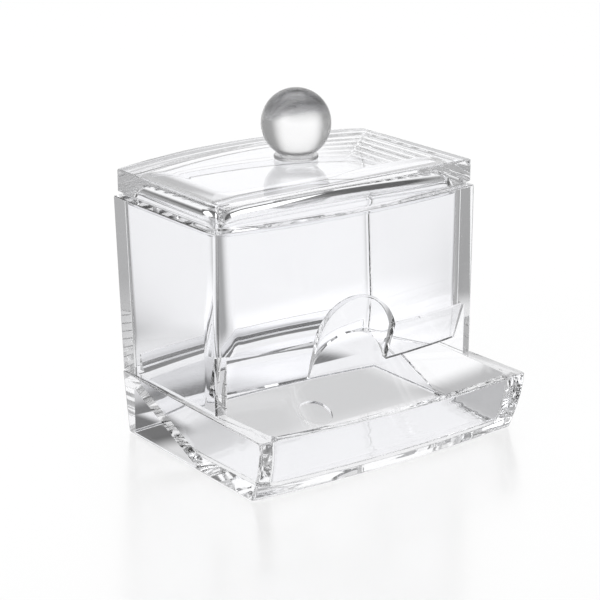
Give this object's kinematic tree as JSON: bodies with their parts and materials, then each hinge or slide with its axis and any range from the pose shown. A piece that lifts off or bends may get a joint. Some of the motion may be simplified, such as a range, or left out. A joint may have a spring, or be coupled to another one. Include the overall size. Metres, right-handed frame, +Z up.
{
  "type": "cotton swab holder",
  "caption": "Clear plastic swab holder: a tray with a ramp under a box with an arched finger notch, closed by a domed lift-off lid with a ball knob.",
  "frame": {"origin": "under the middle of the whole object, on the surface it stands on", "axes": "+Z up, -Y towards the tray and the finger notch, X along the swabs"},
  "size_m": [0.09, 0.0772, 0.095],
  "materials": {
    "clear_body": "clear, polished",
    "clear_lid": "clear, polished",
    "clear_knob": "clear, polished"
  },
  "bodies": {
    "holder": {"tray_base": "clear_body", "box_sleeve": "clear_body"},
    "cover": {"lid": "clear_lid", "knob_collar": "clear_knob", "ball_knob": "clear_knob"}
  },
  "joints": [
    {"name": "lid_lift", "type": "slide", "parent": "holder", "child": "cover", "axis": [0, 0, 1], "range_m": [0, 0.03]}
  ]
}
